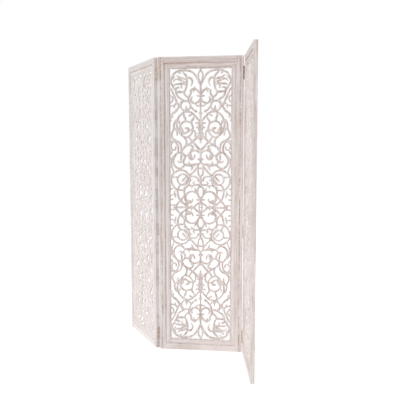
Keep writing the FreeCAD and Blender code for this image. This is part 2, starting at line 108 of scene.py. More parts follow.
# The vines of one quarter of the fretwork, from its middle to its top right
# corner. Each has its widths at its start, its middle and its end, and then its
# places, across and up. All are shares of the field's half width, in 182nds.
share_parts = 182
vine_shares = [
    # First tier
    (10, 10, 10, [(0, 30), (0, 60)]),
    (10, 9, 7, [(0, 47), (14, 47), (25, 47)]),
    (9, 9, 9, [(0, 34), (20, 21), (38, 5), (46, -3)]),
    (6, 6, 6, [(9, -2), (8, 13), (0, 28)]),
    (5, 5, 5, [(0, 0), (10, 0)]),
    (8, 9, 9, [(3, 57), (14, 75), (19, 95), (15, 115), (2, 131)]),
    (3, 12, 2, [(12, 70), (23, 88), (30, 103), (37, 121)]),
    (7, 9, 12, [(10, 60), (20, 79), (34, 92), (49, 97), (64, 95), (78, 88), (88, 77), (93, 64)]),
    (12, 12, 12, [(93, 66), (93, 53), (89, 41), (80, 32), (68, 29)]),
    (11, 9, 6, [(70, 29), (58, 31), (50, 40), (47, 52)]),
    (4, 14, 4, [(53, 36), (70, 38), (89, 45)]),
    (14, 12, 10, [(0, 126), (0, 142), (0, 160)]),
    (10, 9, 9, [(0, 155), (0, 170), (0, 189)]),
    (10, 9, 8, [(0, 136), (20, 137), (38, 135), (50, 129), (60, 132), (72, 134), (84, 126), (94, 113),
                (99, 103)]),
    (7, 6, 3, [(52, 129), (54, 122), (53, 114)]),
    (8, 8, 3, [(28, 138), (41, 142), (45, 150), (34, 158)]),
    (9, 8, 10, [(70, 196), (52, 187), (38, 187), (24, 181), (16, 172), (14, 160)]),
    (9, 6, 7, [(71, 200), (66, 184), (64, 167), (67, 150), (74, 138), (83, 129)]),
    (7, 6, 3, [(66, 160), (58, 163), (50, 167)]),
    (9, 9, 9, [(98, 121), (99, 105), (100, 90), (98, 75), (107, 61), (122, 42), (140, 22), (152, 6),
               (158, -3)]),
    (12, 10, 9, [(70, -3), (84, 11), (102, 22), (122, 42), (131, 54), (137, 72), (140, 90), (141, 106)]),
    (8, 9, 9, [(98, 105), (118, 104), (141, 106)]),
    (9, 9, 8, [(141, 106), (158, 117), (173, 142), (179, 168), (174, 190), (163, 206), (145, 218),
               (118, 225), (90, 217), (73, 198)]),
    (4, 10, 4, [(86, 186), (100, 172), (115, 155)]),
    (7, 7, 5, [(76, 172), (92, 153), (108, 139)]),
    (7, 7, 7, [(140, 183), (160, 182), (174, 187)]),
    (9, 10, 9, [(124, 136), (133, 123), (140, 108)]),
    (6, 7, 5, [(184, 74), (167, 77), (159, 88), (157, 99)]),
    (2, 9, 3, [(160, 92), (155, 74), (151, 56)]),
    (6, 7, 10, [(185, 47), (178, 47), (172, 48)]),
    (6, 7, 10, [(185, 111), (181, 111), (176, 112)]),
    (8, 8, 7, [(148, 9), (166, 14), (184, 12)]),
    (9, 8, 5, [(146, 0), (157, 0), (168, 0)]),
    (11, 12, 13, [(38, 0), (56, 0), (76, 0)]),
    (4, 11, 5, [(84, 0), (116, 0), (152, 0)]),
    (8, 7, 3, [(48, 3), (55, 9), (55, 18)]),
    (5, 12, 6, [(70, 25), (84, 23), (99, 20)]),
    # Second tier
    (9, 8, 8, [(0, 187), (11, 196), (15, 220), (17, 246), (10, 262), (0, 274)]),
    (9, 8, 8, [(0, 236), (15, 236)]),
    (9, 9, 8, [(18, 243), (31, 228), (43, 214), (56, 202), (70, 194)]),
    (7, 15, 9, [(18, 263), (36, 258), (54, 254), (74, 256), (96, 257)]),
    (10, 7, 3, [(70, 254), (70, 266), (69, 279)]),
    (12, 10, 3, [(52, 254), (50, 241), (57, 224)]),
    (10, 9, 9, [(0, 274), (0, 300), (0, 345)]),
    (15, 12, 3, [(0, 290), (8, 290), (18, 290)]),
    (9, 9, 11, [(0, 331), (10, 332), (22, 340), (38, 343), (52, 338), (65, 327), (71, 312)]),
    (13, 14, 10, [(68, 320), (67, 305), (62, 294), (52, 289)]),
    (9, 8, 8, [(56, 289), (45, 292), (38, 302), (36, 314)]),
    (3, 10, 3, [(50, 298), (58, 310), (61, 327)]),
    (8, 8, 8, [(70, 312), (98, 312)]),
    (12, 10, 8, [(0, 345), (12, 354), (24, 367), (37, 382), (50, 394), (62, 409), (72, 425)]),
    (8, 8, 8, [(16, 424), (32, 407), (50, 392), (64, 384), (78, 376)]),
    (6, 10, 9, [(59, 339), (50, 349), (46, 360), (54, 370), (70, 375), (88, 369), (103, 356),
                (112, 342), (117, 329)]),
    (3, 9, 4, [(58, 337), (56, 348), (49, 357)]),
    (9, 9, 9, [(98, 312), (104, 322), (114, 328), (127, 330), (143, 325), (154, 311), (163, 294),
               (165, 272), (159, 254), (148, 242), (133, 235), (117, 237), (106, 246), (94, 257)]),
    (9, 10, 8, [(101, 320), (95, 304), (98, 290), (105, 280), (104, 268), (98, 262)]),
    (5, 10, 7, [(118, 328), (116, 308), (120, 285)]),
    (9, 8, 4, [(103, 279), (116, 274), (128, 271), (138, 281)]),
    (9, 9, 8, [(117, 329), (116, 350), (118, 368), (123, 383), (133, 393), (148, 400), (162, 409),
               (172, 421)]),
    (8, 8, 8, [(143, 324), (137, 337), (134, 350), (136, 364), (142, 379), (152, 391), (166, 394),
               (184, 400)]),
    (8, 7, 8, [(150, 362), (152, 350), (162, 344), (173, 351), (179, 366), (176, 382), (166, 394)]),
    (5, 7, 6, [(163, 312), (172, 300), (177, 284), (178, 262), (175, 245), (169, 228), (163, 208)]),
    (8, 9, 4, [(185, 321), (177, 329), (173, 343)]),
    # Third tier
    (9, 8, 9, [(0, 390), (0, 420), (0, 452)]),
    (9, 12, 9, [(-9, 412), (0, 412), (9, 412)]),
    (9, 12, 9, [(-9, 428), (0, 428), (9, 428)]),
    (12, 9, 5, [(0, 444), (9, 444), (18, 443)]),
    (16, 24, 20, [(0, 452), (0, 467), (0, 482)]),
    (20, 24, 8, [(0, 482), (0, 500), (0, 520)]),
    (7, 7, 10, [(6, 505), (16, 504), (26, 505)]),
    (7, 7, 8, [(6, 480), (16, 480), (24, 477)]),
    (7, 7, 7, [(0, 515), (0, 535), (0, 610)]),
    (10, 14, 10, [(-5, 562), (0, 562), (5, 562)]),
    (10, 13, 10, [(-6, 605), (0, 605), (6, 605)]),
    (8, 9, 9, [(0, 514), (12, 522), (22, 534), (34, 547), (46, 559), (60, 568), (78, 571), (95, 571)]),
    (9, 9, 9, [(92, 571), (108, 563), (120, 553), (130, 541), (138, 526), (143, 510), (144, 494),
               (141, 478), (135, 462)]),
    (9, 9, 8, [(136, 464), (127, 448), (115, 434), (102, 423), (92, 413), (86, 402), (84, 391),
               (88, 374)]),
    (4, 10, 9, [(40, 541), (43, 529), (52, 518), (55, 503)]),
    (9, 8, 8, [(55, 505), (48, 486), (46, 470), (48, 455), (56, 441), (66, 430), (80, 422), (97, 420)]),
    (8, 9, 9, [(54, 503), (66, 509), (88, 515), (104, 510), (116, 499), (124, 482)]),
    (9, 9, 9, [(124, 484), (124, 464), (118, 451), (104, 444), (90, 445), (79, 453), (73, 463)]),
    (8, 13, 9, [(71, 470), (80, 473), (90, 475)]),
    (3, 8, 4, [(99, 448), (109, 464), (118, 482)]),
    (4, 7, 4, [(50, 469), (60, 462), (72, 453)]),
    (6, 11, 5, [(91, 515), (93, 532), (100, 549), (101, 566)]),
    (4, 8, 9, [(45, 557), (57, 552), (68, 547)]),
    (4, 8, 3, [(127, 519), (128, 509), (125, 492)]),
    (8, 8, 7, [(44, 464), (34, 453), (30, 438), (33, 423)]),
    (8, 9, 9, [(10, 433), (21, 422), (33, 410), (45, 398)]),
    (8, 9, 9, [(150, 521), (158, 505), (162, 490), (160, 476), (166, 460), (173, 445), (175, 430),
               (171, 415), (158, 404)]),
    (7, 8, 7, [(162, 476), (150, 468), (143, 452), (142, 434)]),
    (8, 12, 3, [(86, 576), (86, 590), (88, 606)]),
    (9, 11, 8, [(130, 600), (138, 590), (146, 578), (157, 568), (168, 562), (173, 553), (170, 539)]),
    (7, 8, 8, [(184, 603), (168, 606), (158, 608), (148, 621)]),
    (7, 6, 3, [(158, 608), (157, 600), (160, 592)]),
    (9, 8, 7, [(60, 602), (50, 590), (42, 581), (32, 575)]),
    (10, 14, 10, [(26, 571), (29, 573), (33, 576)]),
    (5, 7, 5, [(176, 547), (183, 532), (177, 516)]),
    (3, 8, 3, [(4, 603), (18, 605), (31, 613)]),
    # Fourth tier
    (9, 9, 12, [(0, 608), (0, 640), (0, 662)]),
    (9, 12, 9, [(-7, 640), (0, 640), (7, 640)]),
    (12, 9, 6, [(0, 662), (10, 662), (21, 663)]),
    (10, 14, 8, [(0, 660), (0, 684), (0, 712)]),
    (8, 8, 8, [(0, 708), (0, 722), (0, 738)]),
    (8, 8, 6, [(0, 732), (8, 750), (13, 768), (14, 784), (9, 798), (0, 812)]),
    (8, 8, 8, [(0, 808), (0, 822)]),
    (8, 9, 9, [(0, 722), (8, 740), (17, 757), (25, 772), (33, 784), (44, 795), (58, 804), (76, 809)]),
    (9, 9, 8, [(72, 808), (92, 811), (112, 811), (132, 808), (148, 801), (160, 792), (169, 778),
               (175, 763), (178, 746)]),
    (9, 9, 9, [(0, 672), (12, 685), (23, 698), (36, 704), (49, 702), (59, 693), (57, 681), (64, 667),
               (75, 650)]),
    (8, 7, 2, [(36, 703), (37, 709), (32, 716)]),
    (3, 9, 3, [(33, 704), (40, 695), (44, 685)]),
    (9, 9, 9, [(0, 640), (9, 631), (22, 624), (36, 620), (48, 623)]),
    (9, 12, 5, [(46, 622), (56, 633), (57, 646), (50, 657)]),
    (9, 9, 8, [(75, 652), (70, 636), (66, 621), (62, 606)]),
    (8, 9, 9, [(73, 650), (86, 662), (96, 673), (99, 685)]),
    (9, 11, 9, [(97, 685), (112, 686), (128, 686), (146, 689)]),
    (9, 9, 9, [(90, 632), (107, 640), (121, 648), (134, 657), (141, 667), (146, 682), (151, 698)]),
    (9, 9, 8, [(150, 696), (160, 710), (169, 724), (177, 742)]),
    (8, 9, 9, [(177, 704), (168, 685), (160, 667), (152, 649), (144, 631), (137, 615), (129, 598)]),
    (7, 8, 7, [(110, 636), (120, 622), (130, 601)]),
    (7, 8, 7, [(184, 667), (171, 657), (168, 645), (172, 632), (184, 622)]),
    # The large leaf of the fourth tier
    (8, 9, 9, [(99, 685), (90, 701), (84, 721), (81, 740), (82, 762)]),
    (8, 10, 3, [(80, 762), (68, 768), (56, 762), (49, 748), (51, 734), (58, 720)]),
    (8, 10, 4, [(82, 760), (84, 775), (92, 787), (102, 796), (109, 806)]),
    (6, 10, 3, [(82, 756), (98, 763), (114, 767), (130, 772), (146, 784)]),
    (6, 9, 4, [(83, 742), (98, 745), (114, 751), (129, 758), (143, 761), (155, 757), (162, 746)]),
    (6, 10, 4, [(85, 727), (100, 732), (117, 734), (134, 732), (150, 731), (163, 724)]),
    (8, 8, 3, [(114, 733), (115, 721), (111, 707)]),
    (6, 10, 3, [(154, 699), (145, 708), (135, 712), (124, 710)]),
    (6, 10, 3, [(130, 808), (127, 799), (119, 792)]),
    (7, 10, 3, [(179, 759), (167, 767), (155, 777)]),
]

# Rings of the fretwork: the middle's two places, the radius and the width
ring_shares = [(108, 168, 32, 8), (90, 605, 29, 8)]
ring_points = 24


def fold_joint(side):
    """The joint that a side panel turns on."""
    return next(joint for joint in frame["joints"] if joint["child"] == side + "_panel")


def panel_place(panel):
    """The matrix that carries a piece in panel place to where a panel stands at rest."""
    if panel == "centre":
        return Matrix.Identity(4)
    joint = fold_joint(panel)
    pin = Vector(joint["pos_m"])
    in_line = math.radians(joint["range_deg"][0])
    to_line = Matrix.Translation(Vector((2 * pin.x, 0, 0)))
    fold = Matrix.Rotation(in_line, 4, "Z")
    return Matrix.Translation(pin) @ fold @ Matrix.Translation(-pin) @ to_line


def scaled(places):
    """Places given in shares, as lengths."""
    return [Vector(place) * (field_half_width / share_parts) for place in places]


def smooth_line(places):
    """A curve through places, as closely spaced points, and whether it is closed."""
    if len(places) == 2:
        knots = [places[0], places[0].lerp(places[1], 1 / 2), places[1]]
    else:
        knots = list(places)
    closed = (knots[0] - knots[-1]).length < carve_step
    before = knots[-2] if closed else 2 * knots[0] - knots[1]
    after = knots[1] if closed else 2 * knots[-1] - knots[-2]
    knots = [before] + knots + [after]
    line = []
    for a, b, c, d in zip(knots, knots[1:], knots[2:], knots[3:]):
        steps = max(2, math.ceil((c - b).length / carve_step))
        for step in range(steps):
            t = step / steps
            line.append(b + ((c - a) * t + (2 * a - 5 * b + 4 * c - d) * t ** 2
                             + (3 * b - a - 3 * c + d) * t ** 3) / 2)
    line.append(knots[-2])
    return line, closed


def widths_along(start, middle, end, count):
    """Widths that pass through three given ones, evenly along a vine."""
    t = np.linspace(0, 1, count)
    return start * (1 - t) * (1 - 2 * t) + middle * 4 * t * (1 - t) + end * t * (2 * t - 1)


def round_end(place, tangent, half, sign):
    """Stations past one end of a vine, ever slimmer and lower."""
    stations = []
    for turn in vine_cap_turns:
        past = tangent * half * (sign * math.sin(turn))
        stations.append((place + past, tangent, half * math.cos(turn), math.cos(turn)))
    return stations


def vine_stations(line, widths, closed):
    """Each place of a vine with its direction, half width and fullness, and its round ends."""
    tangents = []
    for number in range(len(line)):
        following = line[min(number + 1, len(line) - 1)]
        tangents.append((following - line[max(number - 1, 0)]).normalized())
    if closed:
        tangents[0] = tangents[-1] = (line[1] - line[-2]).normalized()
    stations = [(place, tangent, width / 2, 1.0)
                for place, tangent, width in zip(line, tangents, widths)]
    if closed:
        return stations
    head = round_end(*stations[0][:3], -1)
    tail = round_end(*stations[-1][:3], 1)
    return head[::-1] + stations + tail


def vine_rings(line, widths, closed, drop):
    """The section's points round each station of a vine."""
    rings = []
    for place, tangent, half, fullness in vine_stations(line, widths, closed):
        normal = Vector((-tangent.y, tangent.x))
        crown = min(carve_crown, carve_crown_share * half)
        top = board_half_thickness + carve_rise - drop - carve_crown * (1 - fullness) / 2
        ring = []
        for face in (-1, 1):
            for number in range(carve_arch_points):
                turn = math.pi * number / (carve_arch_points - 1)
                across = face * half * math.cos(turn)
                out = face * (top - crown + crown * math.sin(turn))
                ring.append(Vector((place.x + normal.x * across, out, place.y + normal.y * across)))
        rings.append(ring)
    return rings


def join_rings(mesh, ring, following):
    """Faces between two rings of equal counts."""
    for number in range(len(ring)):
        beside = (number + 1) % len(ring)
        mesh.faces.new((ring[number], ring[beside], following[beside], following[number]))


def add_lofted(mesh, rings):
    """A closed solid through rings of equal counts."""
    for ring, following in zip(rings, rings[1:]):
        join_rings(mesh, ring, following)
    mesh.faces.new(reversed(rings[0]))
    mesh.faces.new(rings[-1])


def add_vine(mesh, line, widths, closed, drop):
    """One closed solid round a vine's line."""
    rings = [[mesh.verts.new(point) for point in ring] for ring in vine_rings(line, widths, closed, drop)]
    if not closed:
        add_lofted(mesh, rings)
        return
    for vert in rings.pop():
        mesh.verts.remove(vert)
    for ring, following in zip(rings, rings[1:] + rings[:1]):
        join_rings(mesh, ring, following)


def add_block(mesh, low, high):
    size = Vector(high) - Vector(low)
    middle = (Vector(high) + Vector(low)) / 2
    place = Matrix.Translation(middle) @ Matrix.Diagonal(size).to_4x4()
    bmesh.ops.create_cube(mesh, size=1, matrix=place)


def quarter_vines():
    """Every vine of a quarter: its line, its widths, whether it is closed and how far its face drops."""
    unit = vine_gain * field_half_width / share_parts
    vines = []
    for start, middle, end, places in vine_shares:
        line, closed = smooth_line(scaled(places))
        widths = widths_along(start, middle, end, len(line)) * unit
        is_leaf = min(start, end) <= min(leaf_end_width, leaf_end_share * middle)
        vines.append((line, widths, closed, leaf_drop if is_leaf else 0.0))
    for across, up, radius, width in ring_shares:
        turns = [2 * math.pi * number / ring_points for number in range(ring_points + 1)]
        places = [(across + radius * math.cos(turn), up + radius * math.sin(turn)) for turn in turns]
        line, closed = smooth_line(scaled(places))
        vines.append((line, np.full(len(line), width * unit), closed, 0.0))
    return vines


def apply_modifiers(piece):
    graph = bpy.context.evaluated_depsgraph_get()
    mesh = bpy.data.meshes.new_from_object(piece.evaluated_get(graph))
    piece.modifiers.clear()
    old = piece.data
    piece.data = mesh
    bpy.data.meshes.remove(old)


def new_object(name, data):
    """An object in the scene."""
    thing = bpy.data.objects.new(name, data)
    bpy.context.scene.collection.objects.link(thing)
    return thing


def new_piece(name, builder):
    """An object from a mesh builder, which is used up."""
    mesh = bpy.data.meshes.new(name)
    builder.to_mesh(mesh)
    builder.free()
    return new_object(name, mesh)


def carved_quarter(vines):
    """A quarter of the fretwork as one carved body, cut clean at both middle planes."""
    mesh = bmesh.new()
    for line, widths, closed, drop in vines:
        add_vine(mesh, line, widths, closed, drop)
    corner = (board_half_width, board_half_thickness, board_half_height)
    add_block(mesh, (field_half_width, -board_half_thickness, -carve_overrun), corner)
    add_block(mesh, (-carve_overrun, -board_half_thickness, field_half_height), corner)
    piece = new_piece("carving", mesh)
    remesh = piece.modifiers.new("remesh", "REMESH")
    remesh.mode = "VOXEL"
    remesh.voxel_size = carve_voxel
    smooth = piece.modifiers.new("smooth", "SMOOTH")
    smooth.factor = carve_smooth_factor
    smooth.iterations = carve_smooth_rounds
    apply_modifiers(piece)
    thin = piece.modifiers.new("thin", "DECIMATE")
    thin.ratio = min(1.0, carve_faces / (2 * len(piece.data.polygons)))
    apply_modifiers(piece)
    quarter = bmesh.new()
    quarter.from_mesh(piece.data)
    bpy.data.meshes.remove(piece.data)
    for normal in ((1, 0, 0), (0, 0, 1)):
        bmesh.ops.bisect_plane(
            quarter, geom=quarter.verts[:] + quarter.edges[:] + quarter.faces[:],
            plane_co=(0, 0, 0), plane_no=normal, clear_inner=True)
    return quarter


def add_mirrored(half, axis):
    """Adds a body's mirror image across a plane through the middle, welded there."""
    copy = bmesh.ops.duplicate(half, geom=half.verts[:] + half.edges[:] + half.faces[:])["geom"]
    verts = [part for part in copy if isinstance(part, bmesh.types.BMVert)]
    faces = [part for part in copy if isinstance(part, bmesh.types.BMFace)]
    for vert in verts:
        vert.co[axis] = -vert.co[axis]
    bmesh.ops.reverse_faces(half, faces=faces)
    seam = [vert for vert in half.verts if abs(vert.co[axis]) < seam_reach]
    bmesh.ops.remove_doubles(half, verts=seam, dist=seam_reach)


def mark_edges(mesh, vines):
    """Stores for each point how far it lies inside the vines' outline, and how far it faces out."""
    middles, halves = [], []
    for line, widths, _, _ in vines:
        middles.extend(line)
        halves.extend(widths / 2)
    middles = np.array([(m.x, m.y) for m in middles], np.float32)
    halves = np.array(halves, np.float32)
    count = len(mesh.vertices)
    co = np.empty(count * 3, np.float32)
    mesh.vertices.foreach_get("co", co)
    flat = np.abs(co.reshape(-1, 3)[:, (LEVEL, UPRIGHT)])
    inside = np.empty(count, np.float32)
    for first in range(0, count, points_at_once):
        some = slice(first, first + points_at_once)
        gap = flat[some, None, :] - middles[None, :, :]
        inside[some] = (halves - np.hypot(gap[..., 0], gap[..., 1])).max(axis=1)
    rim = np.maximum(flat[:, 0] - field_half_width, flat[:, 1] - field_half_height)
    inside = np.maximum(inside, rim)
    normals = np.empty(count * 3, np.float32)
    mesh.vertices.foreach_get("normal", normals)
    facing = np.abs(normals.reshape(-1, 3)[:, 1])
    for name, values in (("inside", inside), ("facing", facing)):
        mesh.attributes.new(name, "FLOAT", "POINT").data.foreach_set("value", values)


def carve_fretwork():
    """The whole carved board as one mesh in panel place."""
    vines = quarter_vines()
    carving = carved_quarter(vines)
    add_mirrored(carving, LEVEL)
    add_mirrored(carving, UPRIGHT)
    bmesh.ops.recalc_face_normals(carving, faces=carving.faces[:])
    mesh = bpy.data.meshes.new("fretwork")
    carving.to_mesh(mesh)
    carving.free()
    mesh.shade_smooth()
    mark_edges(mesh, vines)
    mesh.transform(Matrix.Translation((0, 0, middle_height)))
    return mesh


class Graph:
    """Builds the nodes of a material or world, one call for each."""

    def __init__(self, owner):
        owner.use_nodes = True
        self.owner = owner
        self.tree = owner.node_tree
        self.shader = self.tree.nodes.get("Principled BSDF")

    def node(self, kind, inputs=None, **settings):
        node = self.tree.nodes.new(kind)
        for key, value in settings.items():
            setattr(node, key, value)
        for key, value in (inputs or {}).items():
            self.feed(node.inputs[key], value)
        return node

    def feed(self, socket, value):
        if isinstance(value, bpy.types.NodeSocket):
            self.tree.links.new(value, socket)
        else:
            socket.default_value = value

    def math(self, operation, a, b=0.0, clamp=False):
        return self.node("ShaderNodeMath", {0: a, 1: b}, operation=operation, use_clamp=clamp).outputs[0]

    def product(self, *factors):
        result = factors[0]
        for factor in factors[1:]:
            result = self.math("MULTIPLY", result, factor)
        return result

    def greatest(self, *values):
        result = values[0]
        for value in values[1:]:
            result = self.math("MAXIMUM", result, value)
        return result

    def gap(self, a, b):
        """How far apart two values are."""
        return self.math("ABSOLUTE", self.math("SUBTRACT", a, b))

    def fade(self, value, start, end, low=0.0, high=1.0):
        """Goes smoothly from low to high as value goes from start to end."""
        node = self.node("ShaderNodeMapRange", {
            "Value": value, "From Min": start, "From Max": end, "To Min": low, "To Max": high,
        }, interpolation_type="SMOOTHSTEP")
        return node.outputs["Result"]

    def blend(self, share, a, b):
        """Goes from colour a to colour b as share goes from 0 to 1."""
        node = self.node("ShaderNodeMix", {"Factor": share}, data_type="RGBA", clamp_factor=True)
        self.feed(node.inputs[6], a)
        self.feed(node.inputs[7], b)
        return node.outputs[2]

    def vector(self, operation, inputs):
        return self.node("ShaderNodeVectorMath", inputs, operation=operation).outputs[0]

    def parts(self, place):
        """A place's x, y and z."""
        return self.node("ShaderNodeSeparateXYZ", {0: place}).outputs

    def noise(self, place, scale, detail, roughness):
        return self.node("ShaderNodeTexNoise", {
            "Vector": place, "Scale": scale, "Detail": detail, "Roughness": roughness}).outputs["Fac"]

    def stretched(self, place, scale, shift):
        return self.node("ShaderNodeMapping", {
            "Vector": place, "Scale": scale, "Location": shift}).outputs["Vector"]

    def finish(self, colour, roughness, height, bump_distance, bump_strength):
        self.feed(self.shader.inputs["Base Color"], colour)
        self.feed(self.shader.inputs["Roughness"], roughness)
        bump = self.node("ShaderNodeBump", {
            "Height": height, "Strength": bump_strength, "Distance": bump_distance})
        self.feed(self.shader.inputs["Normal"], bump.outputs["Normal"])
        return self.owner


# In the materials, a span is the two levels of a noise, or of a distance, between
# which a layer fades in, and a wear is how far the wood shows at most.

# Colours of the whitewashed wood: where the wash is thick, streaky, thin and
# handled, and the two of the bare wood
wash_light = (0.82, 0.77, 0.755, 1.0)
wash_shade = (0.675, 0.595, 0.575, 1.0)
wash_thin = (0.57, 0.455, 0.375, 1.0)
wash_handled = (0.56, 0.435, 0.395, 1.0)
wood_brown = (0.28, 0.165, 0.12, 1.0)
wood_dark = (0.15, 0.08, 0.06, 1.0)

# How the wood's two colours mix, how far bare wood covers the wash, and the sheen
wood_span = (0.35, 0.65)
wood_cover = 0.8
wash_roughness = 0.82
wood_roughness = 0.62
specular_level = 0.3

# Noises of the wood's grain: the scale, the detail and how far each is drawn out,
# along the grain, or across it for the saw marks
grain_noises = {
    "fine": (420.0, 3.0, 0.045),
    "streaks": (105.0, 4.0, 0.05),
    "pores": (900.0, 2.0, 0.045),
    "patches": (17.0, 4.0, 0.3),
    "saw": (105.0, 3.0, 0.12),
}
grain_roughness = 0.6

# Other noises have their scale, detail and roughness
arris_noise = (60.0, 4.0, 0.65)
arris_stretch = (1.0, 1.0, 0.35)
stretches_noise = (13.0, 4.0, 0.65)
stretches_stretch = (0.5, 0.5, 1.0)
moulding_noise = (45.0, 4.0, 0.65)
carving_noise = (70.0, 4.0, 0.65)

# How far apart the panels' patches of noise lie
panel_spacing = 1.7

# How light the wash is on each panel and on each kind of piece, at the screen's
# bottom and top, at the panel's left and right, and down the sides of openings.
# Past the wash's own level this is painted light: the side panels lighter for the
# light on them, the mouldings lighter to lift their shade, the bottom lighter and
# the top darker, the centre panel darker at its left and lighter at its right, and
# the shaded walls of openings lighter
panel_tone_and_light = {"left": 0.96, "centre": 0.95, "right": 0.98}
panel_tint = {"left": (0.993, 1.007, 1.008), "centre": (1.0, 1.0, 1.0), "right": (1.0, 1.0, 0.99)}
kind_tone_and_light = {"stiles": 1.0, "rails": 1.0, "mouldings": 1.07, "carving": 1.02}
painted_height_light = {
    "stiles": (1.09, 0.94), "rails": (1.17, 0.89), "mouldings": (1.08, 0.93), "carving": (1.1, 0.97)}
painted_side_light = {"left": (1.0, 1.0), "centre": (0.94, 1.03), "right": (1.0, 1.0)}
painted_wall_light = 1.18
wall_facing_span = (0.75, 0.25)

# How much the wash varies on each panel, and how streaky it is on each kind of piece
panel_contrast = {"left": 0.5, "centre": 1.0, "right": 0.9}
streak_shares = {
    "stiles": (0.0, 1.0), "rails": (0.1, 0.6), "mouldings": (0.1, 0.8), "carving": (0.0, 1.0)}
streak_span = (0.36, 0.62)

# How far the wash has worn thin in patches, and how that grows up the screen
thin_share = {"stiles": 0.75, "rails": 0.65, "mouldings": 0.5, "carving": 0.75}
thin_height_shares = (0.6, 1.3)
thin_patch_span = (0.5, 0.66)
thin_streak_span = (0.42, 0.6)

# How far down from the top, and how much, handling has thinned the wash
handled_reach = 0.11
handled_full_reach = 0.3 * handled_reach
handled_share = {"left": 0.15, "centre": 0.7, "right": 0.2}
handled_streak_span = (0.38, 0.6)
handled_streak_low = 0.15

# Saw marks, which lie in patches, and open pores
saw_share = {"stiles": 0.06, "rails": 0.04, "mouldings": 0.03, "carving": 0.0}
saw_span = (0.45, 0.75)
saw_patch_span = (0.4, 0.6)
pore_wear = {"stiles": 0.35, "rails": 0.15, "mouldings": 0.2, "carving": 0.35}
pore_span = (0.62, 0.74)

# Brown at the boards' arrises, over a reach that wanders, and on their outer faces
arris_wear = {"stiles": 0.8, "rails": 0.35}
arris_span = (0.4, 0.75)
arris_reaches = (0.0006, 0.004)
edge_wear = {"left": 0.32, "centre": 0.2, "right": 0.07}
edge_depth_span = (0.0012, 0.0004)
edge_stretch_span = (0.45, 0.62)

# A worn line along the stiles and rails, from their outer edge
worn_line_place = 0.0175
worn_line_gap_span = (0.005, 0.001)
worn_line_wear = {"stiles": 0.75, "rails": 0.08}
worn_line_stretch_span = (0.37, 0.54)
worn_line_saw_span = (0.42, 0.56)
worn_line_saw_low = 0.4

# Brown in the moulding's quirk, on level and upright strips, and at its bead and lip.
# In the quirk's recess the brown is partly painted shade, heavier on the level strips
quirk_depth_span = (0.0062, 0.0035)
quirk_noise_span = (0.42, 0.66)
quirk_noise_low = 0.15
quirk_wear_and_shade = (0.6, 0.35)
bead_line_place = 0.0206
bead_gap_span = (0.0018, 0.0006)
bead_wear = 0.28
lip_gap_span = (0.0018, 0.0004)
lip_wear = 0.25
moulding_line_span = (0.4, 0.62)

# Brown at the carving's edges and crests, by how far inside its outline they lie;
# partly wood showing through and partly painted shade along the vines' edges and crests
carving_wear_and_shade = {"left": 0.1, "centre": 1.0, "right": 0.1}
carving_noise_span = (0.44, 0.62)
carving_noise_low = 0.25
carving_edge_span = (0.0018, 0.0004)
carving_edge_wear_and_shade = 0.3
crest_span = (0.0022, 0.0044)
crest_fall_span = (0.0055, 0.0075)
crest_wear_and_shade = (0.62, 0.3)

# Bumps: how deep and how strong
board_bump = (0.0006, 0.6)
moulding_bump = (0.0005, 0.6)
carving_bump = (0.0006, 0.5)
hinge_bump = (0.0002, 0.5)
screw_bump = (0.0001, 0.5)

# Colours of the hinges' steel, of the wash on them where it is thick and thin, and
# how much of their leaves and knuckles it covers. Roughness is the steel's and then
# the wash's.
steel_dark = (0.06, 0.03, 0.02, 1.0)
steel_rubbed = (0.3, 0.17, 0.11, 1.0)
hinge_wash = {
    "bottom": ((0.7, 0.62, 0.565, 1.0), (0.6, 0.47, 0.395, 1.0)),
    "middle": ((0.74, 0.68, 0.66, 1.0), (0.635, 0.56, 0.53, 1.0)),
    "top": ((0.72, 0.66, 0.615, 1.0), (0.58, 0.5, 0.43, 1.0)),
}
leaf_cover = 0.95
knuckle_cover = {"bottom": 0.7, "middle": 0.8, "top": 0.43}
knuckle_reach_span = (0.0036, 0.0046)
hinge_mottle_noise = (260.0, 4.0, 0.6)
hinge_patch_noise = (120.0, 4.0, 0.6)
hinge_mottle_span = (0.45, 0.75)
hinge_wash_span = (0.3, 0.7)
hinge_cover_span = (0.4, 0.6)
hinge_roughnesses = (0.5, 0.8)
hinge_metal = 0.1

# The screws' steel, and how much of them the wash covers
screw_mottle_noise = (700.0, 3.0, 0.6)
screw_patch_noise = (150.0, 4.0, 0.6)
screw_mottle_span = (0.45, 0.7)
screw_cover_span = (0.42, 0.58)
screw_covers = (0.4, 0.95)
screw_roughnesses = (0.4, 0.8)
screw_metal = 0.6


def panel_coordinates(graph, panel):
    """Texture coordinates in panel place, for a CAD piece that stands where its panel does."""
    raw = graph.node("ShaderNodeTexCoord").outputs["Object"]
    shift, turn = panel_place(panel).inverted().decompose()[:2]
    return graph.node("ShaderNodeMapping", {
        "Vector": raw, "Location": shift, "Rotation": turn.to_euler()}).outputs["Vector"]


def panel_shift(panel):
    """What sets one panel's noise apart from the others'."""
    return (0.0, panel_spacing * PANELS.index(panel), 0.0)


def wood_grain(graph, place, panel, along):
    """Each noise of the wood's grain along an axis, other ones on each panel."""
    grain = {}
    for name, (size, detail, drawn) in grain_noises.items():
        scale = [1.0, 1.0, 1.0]
        scale[2 - along if name == "saw" else along] = drawn
        drawn_out = graph.stretched(place, scale, panel_shift(panel))
        grain[name] = graph.noise(drawn_out, size, detail, grain_roughness)
    return grain


